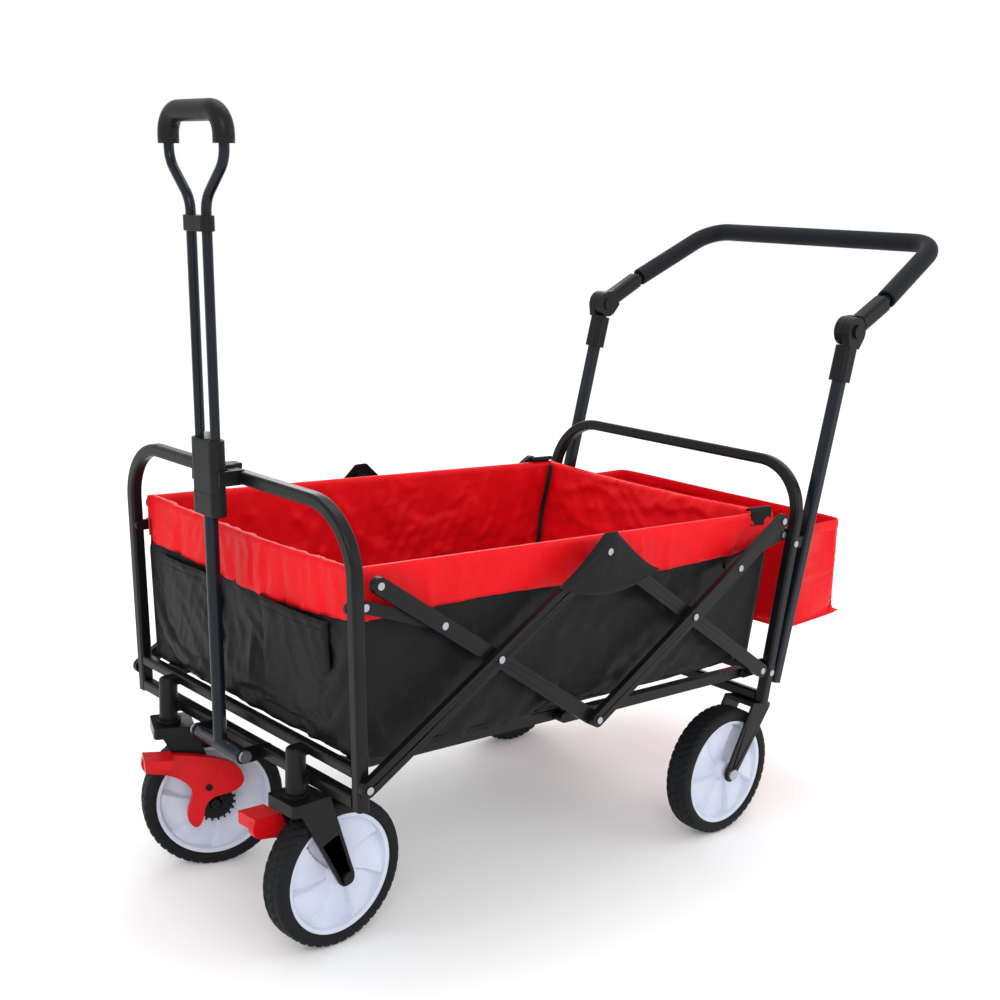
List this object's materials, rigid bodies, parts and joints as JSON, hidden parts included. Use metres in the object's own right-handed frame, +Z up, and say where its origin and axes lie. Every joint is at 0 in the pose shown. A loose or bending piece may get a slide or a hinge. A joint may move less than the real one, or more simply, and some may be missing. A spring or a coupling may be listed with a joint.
{
  "type": "folding camp wagon",
  "caption": "Folding camp wagon: fabric tub in a scissor frame, swivelling front casters with foot brakes, fixed rear wheels, telescoping pull handle, tilting push handle and rear bag.",
  "frame": {"origin": "on the floor, at the middle of the overall length and width", "axes": "+X towards the rear and the push handle, +Y towards the wagon's right, +Z up"},
  "size_m": [1.203, 0.5432, 0.9947],
  "materials": {
    "frame_black": "semi-gloss black powder coat on square steel tube",
    "handle_black": "glossy blue-black powder coat on round tube",
    "zinc_steel": "bright zinc plated rivet and bolt heads",
    "tyre_rubber": "black moulded rubber with a diagonal lug tread",
    "hub_white": "white moulded plastic, semi-gloss",
    "brake_red": "red moulded plastic, satin",
    "plastic_black": "black moulded plastic with a fine texture",
    "fabric_black": "black coated polyester, plain weave",
    "fabric_red": "bright red coated polyester, plain weave",
    "foam_black": "black closed-cell foam sleeve",
    "button_grey": "grey moulded plastic"
  },
  "bodies": {
    "front_frame": {"front_hoop": "frame_black", "front_cross_tubes": "frame_black", "caster_sockets": "plastic_black", "handle_bracket": "frame_black", "handle_pivot_bolt": "zinc_steel", "handle_clip": "plastic_black", "front_link_tabs": "frame_black", "front_rivets": "zinc_steel", "tub_front_wall": "fabric_black", "tub_side_walls": "fabric_black", "tub_floor": "fabric_black"},
    "outer_front_links": {"outer_front_links": "frame_black", "outer_front_rivets": "zinc_steel"},
    "inner_front_links": {"inner_front_links": "frame_black", "inner_front_caps": "plastic_black", "inner_front_rivets": "zinc_steel"},
    "inner_rear_links": {"inner_rear_links": "frame_black", "inner_rear_rivets": "zinc_steel"},
    "outer_rear_links": {"outer_rear_links": "frame_black", "outer_rear_caps": "plastic_black", "outer_rear_rivets": "zinc_steel"},
    "front_stays": {"front_stays": "frame_black"},
    "rear_stays": {"rear_stays": "frame_black"},
    "front_base_rails": {"base_rails_front": "frame_black"},
    "rear_base_rails": {"base_rails_rear": "frame_black"},
    "side_flaps": {"side_flaps": "fabric_black"},
    "rear_frame": {"rear_hoop": "frame_black", "rear_cross_tubes": "frame_black", "rear_forks": "frame_black", "rear_brackets": "frame_black", "rear_rivets": "zinc_steel", "push_tubes": "handle_black", "push_joint_sockets": "plastic_black", "tub_rear_wall": "fabric_black", "rear_bag": "fabric_red"},
    "pull_handle": {"pull_handle_tube": "handle_black", "handle_housing": "plastic_black"},
    "pull_slider": {"pull_rods": "handle_black", "rod_clamp": "plastic_black", "pull_grip": "plastic_black"},
    "release_button": {"release_button": "button_grey"},
    "push_handle": {"push_bar": "handle_black", "push_arm_sockets": "plastic_black", "push_foam_grip": "foam_black"},
    "ratchet_button_left": {"ratchet_button_left": "plastic_black"},
    "ratchet_button_right": {"ratchet_button_right": "plastic_black"},
    "rear_wheel_left": {"tyre_rear_left": "tyre_rubber", "hub_rear_left": "hub_white"},
    "rear_wheel_right": {"tyre_rear_right": "tyre_rubber", "hub_rear_right": "hub_white"},
    "caster_left": {"caster_fork_left": "frame_black"},
    "front_wheel_left": {"tyre_front_left": "tyre_rubber", "hub_front_left": "hub_white", "brake_ring_left": "plastic_black"},
    "pedal_left": {"brake_pedal_left": "brake_red"},
    "caster_right": {"caster_fork_right": "frame_black"},
    "front_wheel_right": {"tyre_front_right": "tyre_rubber", "hub_front_right": "hub_white", "brake_ring_right": "plastic_black"},
    "pedal_right": {"brake_pedal_right": "brake_red"}
  },
  "joints": [
    {"name": "fold", "type": "hinge", "parent": "front_frame", "child": "outer_front_links", "pos_m": [-0.52301, 0, 0.247], "axis": [0, -1, 0], "range_deg": [0, 46], "deforming": ["tub_side_walls", "tub_floor", "tub_front_wall", "tub_rear_wall"]},
    {"name": "front_crossing", "type": "hinge", "parent": "outer_front_links", "child": "inner_front_links", "pos_m": [-0.33161, 0, 0.36337], "axis": [0, -1, 0], "range_deg": [-92.02, 0]},
    {"name": "top_vertex", "type": "hinge", "parent": "outer_front_links", "child": "inner_rear_links", "pos_m": [-0.15474, 0, 0.47091], "axis": [0, -1, 0], "range_deg": [-92.02, 0]},
    {"name": "rear_crossing", "type": "hinge", "parent": "inner_rear_links", "child": "outer_rear_links", "pos_m": [0.01871, 0, 0.35611], "axis": [0, -1, 0], "range_deg": [0, 92.02]},
    {"name": "rear_leg_pivot", "type": "hinge", "parent": "inner_rear_links", "child": "rear_frame", "pos_m": [0.19049, 0, 0.24241], "axis": [0, -1, 0], "range_deg": [0, 46.02]},
    {"name": "front_stay_pivot", "type": "hinge", "parent": "front_frame", "child": "front_stays", "pos_m": [-0.51751, 0, 0.453], "axis": [0, -1, 0], "range_deg": [0, 95.32]},
    {"name": "rear_stay_pivot", "type": "hinge", "parent": "rear_frame", "child": "rear_stays", "pos_m": [0.22933, 0, 0.438], "axis": [0, -1, 0], "range_deg": [-76.79, 0]},
    {"name": "front_rail_hinge", "type": "hinge", "parent": "front_frame", "child": "front_base_rails", "pos_m": [-0.50901, 0, 0.254], "axis": [0, -1, 0], "range_deg": [0, 78.7]},
    {"name": "rear_rail_hinge", "type": "hinge", "parent": "rear_frame", "child": "rear_base_rails", "pos_m": [0.17972, 0, 0.234], "axis": [0, -1, 0], "range_deg": [-76.97, 0]},
    {"name": "flap_top", "type": "hinge", "parent": "outer_front_links", "child": "side_flaps", "pos_m": [-0.15474, 0, 0.47091], "axis": [0, -1, 0], "range_deg": [-46.02, 0]},
    {"name": "pull_handle_tilt", "type": "hinge", "parent": "front_frame", "child": "pull_handle", "pos_m": [-0.55401, 0, 0.225], "axis": [0, -1, 0], "range_deg": [0, 100]},
    {"name": "pull_handle_slide", "type": "slide", "parent": "pull_handle", "child": "pull_slider", "axis": [-0.0401, 0, 0.9992], "range_m": [-0.23, 0]},
    {"name": "release_press", "type": "slide", "parent": "pull_handle", "child": "release_button", "axis": [-0.0401, 0, 0.9992], "range_m": [-0.004, 0], "stiffness_N_per_m": 400},
    {"name": "push_handle_tilt", "type": "hinge", "parent": "rear_frame", "child": "push_handle", "pos_m": [0.34305, 0, 0.728], "axis": [0, -1, 0], "range_deg": [-60, 50]},
    {"name": "ratchet_press_left", "type": "slide", "parent": "rear_frame", "child": "ratchet_button_left", "axis": [0, 1, 0], "range_m": [0, 0.003], "stiffness_N_per_m": 1200},
    {"name": "ratchet_press_right", "type": "slide", "parent": "rear_frame", "child": "ratchet_button_right", "axis": [0, -1, 0], "range_m": [0, 0.003], "stiffness_N_per_m": 1200},
    {"name": "caster_swivel_left", "type": "hinge", "parent": "front_frame", "child": "caster_left", "pos_m": [-0.54301, -0.15, 0.205], "axis": [0, 0, 1], "continuous": true},
    {"name": "front_wheel_spin_left", "type": "hinge", "parent": "caster_left", "child": "front_wheel_left", "pos_m": [-0.48609, -0.14702, 0.0935], "axis": [0.0523, -0.9986, 0], "continuous": true},
    {"name": "brake_press_left", "type": "hinge", "parent": "caster_left", "child": "pedal_left", "pos_m": [-0.49607, -0.14754, 0.1215], "axis": [0.0523, -0.9986, 0], "range_deg": [0, 16]},
    {"name": "rear_wheel_spin_left", "type": "hinge", "parent": "rear_frame", "child": "rear_wheel_left", "pos_m": [0.14204, -0.225, 0.0935], "axis": [0, -1, 0], "continuous": true},
    {"name": "caster_swivel_right", "type": "hinge", "parent": "front_frame", "child": "caster_right", "pos_m": [-0.54301, 0.15, 0.205], "axis": [0, 0, 1], "continuous": true},
    {"name": "front_wheel_spin_right", "type": "hinge", "parent": "caster_right", "child": "front_wheel_right", "pos_m": [-0.49016, 0.12865, 0.0935], "axis": [-0.3746, -0.9272, 0], "continuous": true},
    {"name": "brake_press_right", "type": "hinge", "parent": "caster_right", "child": "pedal_right", "pos_m": [-0.49943, 0.13239, 0.1215], "axis": [-0.3746, -0.9272, 0], "range_deg": [0, 16]},
    {"name": "rear_wheel_spin_right", "type": "hinge", "parent": "rear_frame", "child": "rear_wheel_right", "pos_m": [0.14204, 0.225, 0.0935], "axis": [0, -1, 0], "continuous": true}
  ],
  "couplings": [
    {"joint": "front_crossing", "follows": "fold", "ratio": -2},
    {"joint": "top_vertex", "follows": "fold", "ratio": -2},
    {"joint": "rear_crossing", "follows": "fold", "ratio": 2},
    {"joint": "rear_leg_pivot", "follows": "fold", "ratio": 1},
    {"joint": "front_stay_pivot", "follows": "fold", "ratio": 2.0717},
    {"joint": "rear_stay_pivot", "follows": "fold", "ratio": -1.6689},
    {"joint": "front_rail_hinge", "follows": "fold", "ratio": 1.7104},
    {"joint": "rear_rail_hinge", "follows": "fold", "ratio": -1.6728},
    {"joint": "flap_top", "follows": "fold", "ratio": -1}
  ]
}
